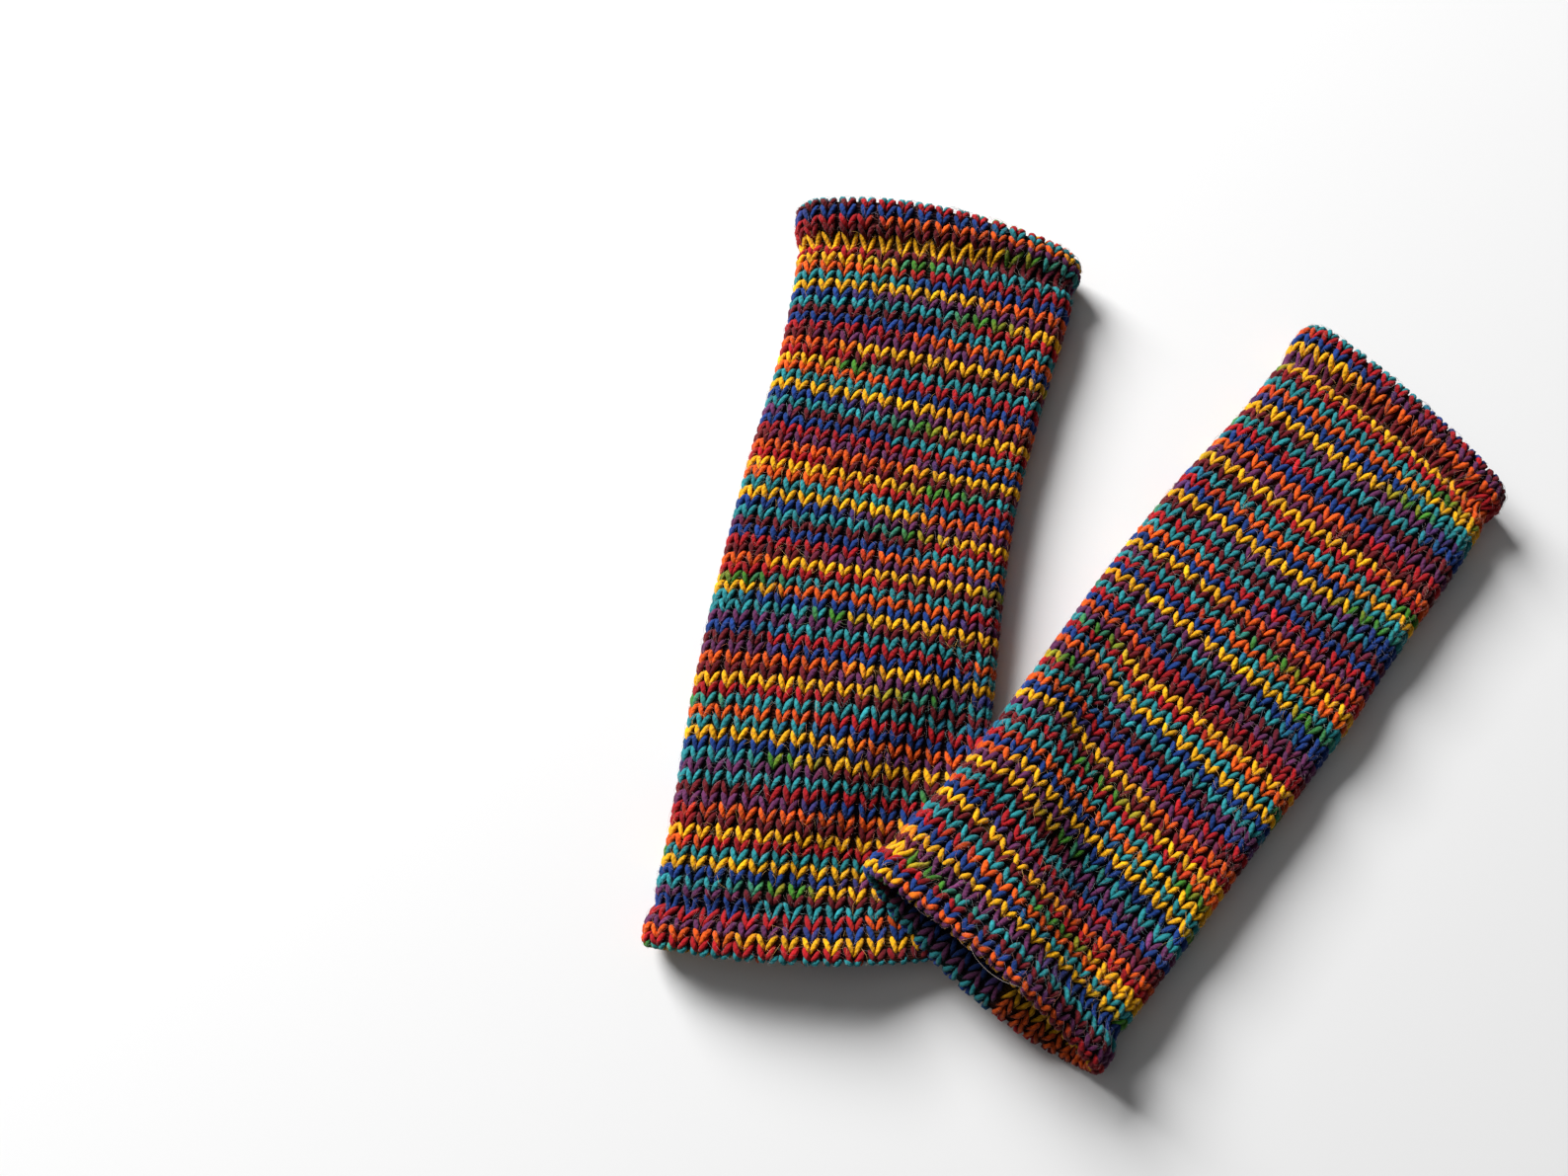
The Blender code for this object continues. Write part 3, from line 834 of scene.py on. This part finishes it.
def stitch_legs(name, warmer, rows, stitches, sides, steps, seed, painted_shade_tone=FACE_TONE):
    """Both legs of every V in a block of rows and stitches, as one mesh of short tapered tubes."""
    rng = np.random.default_rng(seed)
    row, stitch, hand = [a.ravel() for a in np.meshgrid(rows, stitches, [-1.0, 1.0], indexing="ij")]
    count = len(row)
    shares = np.linspace(0.0, 1.0, steps)
    aside, down, depth, thickness = leg_paths(shares)
    size = 1.0 + SIZE_SPREAD * rng.standard_normal((count, 1))
    shift = PLACE_SPREAD * rng.standard_normal((count, 2))
    opening = hand[:, None] * aside * (1.0 + OPENING_SPREAD * rng.standard_normal((count, 1)))
    path_stitch = stitch[:, None] + 0.5 + opening - LEAN * (1.0 - shares) + shift[:, :1]
    path_row = row[:, None] + 0.5 + down * size + shift[:, 1:]
    face, normal = cloth_frame(warmer, path_row, path_stitch)
    deep = depth * YARN_RADIUS + DEPTH_SPREAD * np.abs(rng.standard_normal((count, 1)))
    centre = face - normal * deep[..., None]
    ahead = unit(np.gradient(centre, axis=1))
    up = unit(normal - ahead * np.sum(normal * ahead, axis=-1, keepdims=True))
    side = np.cross(ahead, up)
    angles = np.arange(sides) * 2.0 * np.pi / sides
    uneven = 1.0 + SURFACE_SPREAD * rng.standard_normal((count, steps, sides, 1))
    radius = (YARN_RADIUS * thickness * size)[..., None, None] * uneven
    across_yarn = YARN_WIDE * np.cos(angles)[:, None] * side[..., None, :]
    rim = across_yarn + YARN_HIGH * np.sin(angles)[:, None] * up[..., None, :]
    tube = centre[..., None, :] + radius * rim
    reach = np.array([-TIP_LENGTH, TIP_LENGTH])[:, None]
    tips = centre[:, [0, -1]] + ahead[:, [0, -1]] * reach
    points = np.concatenate([tube.reshape(count, -1, 3), tips], axis=1)
    points[..., 2] = np.maximum(points[..., 2], 0.0)
    yarn_place = stitch[:, None] + 0.5 + 0.5 * hand[:, None] * shares
    cycle = yarn_cycle(warmer, row[:, None], yarn_place)
    cycle = cycle + DYE_SPREAD * rng.standard_normal((count, 1))
    tone = np.exp(TONE_SPREAD * rng.standard_normal((count, 1, 1)))
    # Painted shade darkens the colour of the stitches inside the hems
    leg_colour = yarn_colour(cycle) * tone * painted_shade_tone
    ring_colour = np.repeat(leg_colour, sides, axis=1)
    colours = np.concatenate([ring_colour, leg_colour[:, [0, -1]]], axis=1)
    uv = leg_places(centre, row, angles)
    piece = array_mesh(
        name, points.reshape(-1, 3), *leg_faces(count, steps, sides),
        np.clip(colours.reshape(-1, 3), 0.0, 1.0), uv.reshape(-1, 2),
    )
    piece.data.materials.append(YARN)
    return piece


# %% Stitches on the face, on the underside and inside the hems
FACE_STITCHES = np.arange(-2, 19)
FACE_SIDES, FACE_STEPS = 6, 6
UNDER_SIDES, UNDER_STEPS = 5, 4
BLOCK_SEEDS = {"upper": 11, "lower": 12, "under": 13, "facing": 14}


def stitches_of(warmer):
    """All the knitting of one warmer, in blocks that each stay well under 200,000 triangles."""
    end = int(np.floor(seam_stitch(warmer)))
    every = np.arange(end - STITCHES, end)
    under = np.setdiff1d(every, FACE_STITCHES)
    past_end = np.arange(warmer.rows, warmer.rows + FACING_ROWS)
    facing = np.concatenate([np.arange(-FACING_ROWS, 0) + warmer.first, past_end])
    half = warmer.rows // 2
    upper, lower = np.arange(warmer.first, half), np.arange(half, warmer.rows)
    whole = np.concatenate([upper, lower])
    fine, plain = (FACE_SIDES, FACE_STEPS), (UNDER_SIDES, UNDER_STEPS)
    blocks = {
        "upper": (upper, FACE_STITCHES, *fine, BLOCK_SEEDS["upper"]),
        "lower": (lower, FACE_STITCHES, *fine, BLOCK_SEEDS["lower"]),
        "under": (whole, under, *plain, BLOCK_SEEDS["under"]),
        "facing": (facing, every, *plain, BLOCK_SEEDS["facing"], FACING_PAINTED_SHADE),
    }
    return [
        stitch_legs(warmer.side + "_" + block + "_stitches", warmer, *settings)
        for block, settings in blocks.items()
    ]


stitch_blocks = {warmer.side: stitches_of(warmer) for warmer in (LEFT, RIGHT)}
for side, blocks in stitch_blocks.items():
    for block in blocks:
        block.data.calc_loop_triangles()
        print(block.name, "triangles:", len(block.data.loop_triangles))

# %% [markdown]
# ## Loose fibres
#
# Wool hairs stand off the yarn and soften its outline. Each is a thin three-sided thread that leaves
# the face of the cloth, arches over it and comes down again, in a seeded random direction.

# %% Loose fibres of each warmer
FIBRES = 5600
FIBRE_STEPS = 4
FIBRE_SIDES = 3
FIBRE_RADIUS = 0.038
FIBRE_TAPER = 0.6
FIBRE_SEED = 21

# Where hairs start, in stitches and in rows from the lips, and how far from the lips their tips stay
FIBRE_STITCHES = (-2.0, 19.0)
FIBRE_FROM_LIP, TIP_FROM_LIP = 0.3, 0.1

# Their length, curl and rise over the face, drawn at random. The arch is part of a half wave
LENGTH_SHAPE, LENGTH_SCALE = 3.0, 1.1
CURL_SPREAD = 1.2
RISE_FROM, RISE_TO, FIBRE_SUNK = 0.1, 0.75, 0.35
ARCH_FROM, ARCH_SPAN = 0.15, 0.75
PALE_FIBRE = (0.50, 0.42, 0.36)
PALE_SHARE = 0.3


def thread_mesh(name, centre, normal, radius, colour):
    """Threads as one mesh: centre is (threads, steps, 3), and every step has a three-sided ring."""
    count, steps = centre.shape[:2]
    ahead = unit(np.gradient(centre, axis=1))
    side = unit(np.cross(ahead, normal))
    up = np.cross(side, ahead)
    angles = np.arange(FIBRE_SIDES) * 2.0 * np.pi / FIBRE_SIDES
    rim = np.cos(angles)[:, None] * side[..., None, :] + np.sin(angles)[:, None] * up[..., None, :]
    thin = radius * (1.0 - FIBRE_TAPER * np.linspace(0.0, 1.0, steps))[:, None, None]
    points = (centre[..., None, :] + thin * rim).reshape(-1, 3)
    points[:, 2] = np.maximum(points[:, 2], 0.0)
    index = np.arange(steps * FIBRE_SIDES).reshape(steps, FIBRE_SIDES)
    around = np.roll(index, -1, axis=1)
    quads = np.stack([index[:-1], index[1:], around[1:], around[:-1]], axis=-1).reshape(-1, 4)
    caps = np.stack([index[0], index[-1][::-1]])
    offset = (np.arange(count) * steps * FIBRE_SIDES)[:, None, None]
    all_quads = (quads[None] + offset).reshape(-1, 4)
    all_caps = (caps[None] + offset).reshape(-1, 3)
    colours = np.repeat(colour.reshape(-1, 3), steps * FIBRE_SIDES, axis=0)
    piece = array_mesh(name, points, all_quads, all_caps, colours)
    piece.data.materials.append(FIBRE)
    return piece


def loose_fibres(warmer, seed):
    """Many arched hairs over the face of the cloth."""
    rng = np.random.default_rng(seed)
    row = rng.uniform(warmer.first + FIBRE_FROM_LIP, warmer.rows - FIBRE_FROM_LIP, (FIBRES, 1))
    stitch = rng.uniform(*FIBRE_STITCHES, (FIBRES, 1))
    shares = np.linspace(0.0, 1.0, FIBRE_STEPS)
    heading = rng.uniform(0.0, 2.0 * np.pi, (FIBRES, 1))
    length = rng.gamma(LENGTH_SHAPE, LENGTH_SCALE, (FIBRES, 1))
    curl = rng.normal(0.0, CURL_SPREAD, (FIBRES, 1)) * shares
    aside = np.cumsum(np.cos(heading + curl), axis=1) / FIBRE_STEPS * length
    down = np.cumsum(np.sin(heading + curl), axis=1) / FIBRE_STEPS * length
    first, last = warmer.first + TIP_FROM_LIP, warmer.rows - TIP_FROM_LIP
    fibre_row = np.clip(row + down / warmer.row_height, first, last)
    face, normal = cloth_frame(warmer, fibre_row, stitch + aside / STITCH_WIDTH)
    arch = np.sin(np.pi * (ARCH_FROM + ARCH_SPAN * shares))
    rise = rng.uniform(RISE_FROM, RISE_TO, (FIBRES, 1)) * arch
    centre = face + normal * (rise - FIBRE_SUNK)[..., None]
    dyed = yarn_colour(yarn_cycle(warmer, np.floor(row), stitch))
    colour = (1.0 - PALE_SHARE) * dyed + PALE_SHARE * np.array(PALE_FIBRE)
    return thread_mesh(warmer.side + "_loose_fibres", centre, normal, FIBRE_RADIUS, colour)


# One long pale hair lies over the right warmer's hand end: row, stitch and height above the face
STRAY_HAIR = (
    (76.2, 7.1, 0.4), (76.7, 7.7, 1.0), (76.9, 8.4, 1.2), (76.7, 9.1, 1.1), (76.1, 9.7, 0.9),
    (75.6, 10.3, 0.3),
)
STRAY_STEPS = 16
STRAY_THICKNESS = 1.6


def stray_hair():
    """The long hair as one smooth thread through the places of STRAY_HAIR."""
    knots = np.array(STRAY_HAIR)
    at = np.linspace(0.0, len(knots) - 1.0, STRAY_STEPS)
    row, stitch, rise = [smooth_lookup(at, np.arange(len(knots)), knots[:, k]) for k in range(3)]
    face, normal = cloth_frame(RIGHT, row[None], stitch[None])
    centre = face + normal * rise[None, :, None]
    radius = STRAY_THICKNESS * FIBRE_RADIUS
    return thread_mesh("right_stray_hair", centre, normal, radius, np.array(PALE_FIBRE))


fibres = {warmer.side: [loose_fibres(warmer, FIBRE_SEED)] for warmer in (LEFT, RIGHT)}
fibres["right"].append(stray_hair())
print("fibres:", {side: sum(len(p.data.polygons) for p in pieces) for side, pieces in fibres.items()})

# %% [markdown]
# ## What the pieces stand for
#
# The knitted panel replaces the solids of its warmer, which stay for collision.

# %% Ride and replace
SOLIDS = ("_upper_face", "_under_inner", "_under_outer", "_upper_hem", "_lower_hem")
for warmer in (LEFT, RIGHT):
    side = warmer.side
    panel = panels[side]
    on_panel = stitch_blocks[side] + fibres[side]
    for piece in [panel] + on_panel:
        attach(piece, "root")
    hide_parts(*[side + solid for solid in SOLIDS])

# %% [markdown]
# ## Floor, light and camera
#
# The camera looks down from the front at 76 degrees, as in the photo. The light is a large soft
# source low beyond the upper ends, a little to the left, with a pale surround. It leaves the mouths
# and troughs that face away from it in shade. The floor is plain and pale.

# %% Stage
FLOOR_HALF = 4.0
TARGET = (-81.28 * MM, 6.84 * MM, 0.0)
CAMERA_DISTANCE = 403.0 * MM
TILT_FROM_VERTICAL = np.radians(14.0)
FOCAL_SHARE = 1467.0 / 1588.0
SENSOR_WIDTH = 36.0
FLOOR_BELOW = 0.02
PAPER_TONE = 0.84
SURROUND_STRENGTH = 0.065
NEAREST_SEEN = 0.01
KEY_LIGHT = {"place": (-1.30, 1.50, 1.22), "size": 1.13, "power": 108.0}
FILL_LIGHT = {"place": (-0.9, 0.2, 1.7), "size": 1.6, "power": 3.5}


def add_floor():
    """A plain pale floor, just under the cloth."""
    corners = np.array([[-1, -1, 0], [1, -1, 0], [1, 1, 0], [-1, 1, 0]]) * FLOOR_HALF / MM
    floor = array_mesh("floor", corners - np.array([0, 0, FLOOR_BELOW]), np.array([[0, 1, 2, 3]]))
    material = bpy.data.materials.new("matt_white_paper")
    material.use_nodes = True
    shader = material.node_tree.nodes["Principled BSDF"]
    shader.inputs["Base Color"].default_value = (PAPER_TONE, PAPER_TONE, PAPER_TONE, 1.0)
    shader.inputs["Roughness"].default_value = 0.9
    floor.data.materials.append(material)


def add_area_light(name, place, size, power):
    """A square soft light that faces the middle of the pair."""
    light = bpy.data.lights.new(name, "AREA")
    light.size = size
    light.energy = power
    lamp = bpy.data.objects.new(name, light)
    lamp.location = place
    direction = np.array(TARGET) - np.array(place)
    tilt = np.arctan2(np.hypot(direction[0], direction[1]), -direction[2])
    lamp.rotation_euler = (tilt, 0.0, np.arctan2(-direction[0], direction[1]))
    bpy.context.scene.collection.objects.link(lamp)


def add_camera():
    """The camera: 14 degrees from straight down, towards the front, lens from the frame's width."""
    camera = bpy.data.cameras.new("camera")
    camera.sensor_width = SENSOR_WIDTH
    camera.lens = SENSOR_WIDTH * FOCAL_SHARE
    camera.clip_start = NEAREST_SEEN
    view = bpy.data.objects.new("camera", camera)
    back = CAMERA_DISTANCE * np.sin(TILT_FROM_VERTICAL)
    up = CAMERA_DISTANCE * np.cos(TILT_FROM_VERTICAL)
    view.location = (TARGET[0], TARGET[1] - back, TARGET[2] + up)
    view.rotation_euler = (TILT_FROM_VERTICAL, 0.0, 0.0)
    bpy.context.scene.collection.objects.link(view)
    bpy.context.scene.camera = view


def add_surround():
    """An even pale surround that fills the shadows softly."""
    world = bpy.data.worlds.new("pale_surround")
    world.use_nodes = True
    background = world.node_tree.nodes["Background"]
    background.inputs["Color"].default_value = (1.0, 1.0, 1.0, 1.0)
    background.inputs["Strength"].default_value = SURROUND_STRENGTH
    bpy.context.scene.world = world


# Plain colours straight from the light, so that the dyes keep their strength
bpy.context.scene.view_settings.view_transform = "Standard"
add_floor()
add_area_light("key", **KEY_LIGHT)
add_area_light("fill", **FILL_LIGHT)
add_surround()
add_camera()
print("camera at", tuple(round(v, 3) for v in bpy.context.scene.camera.location))
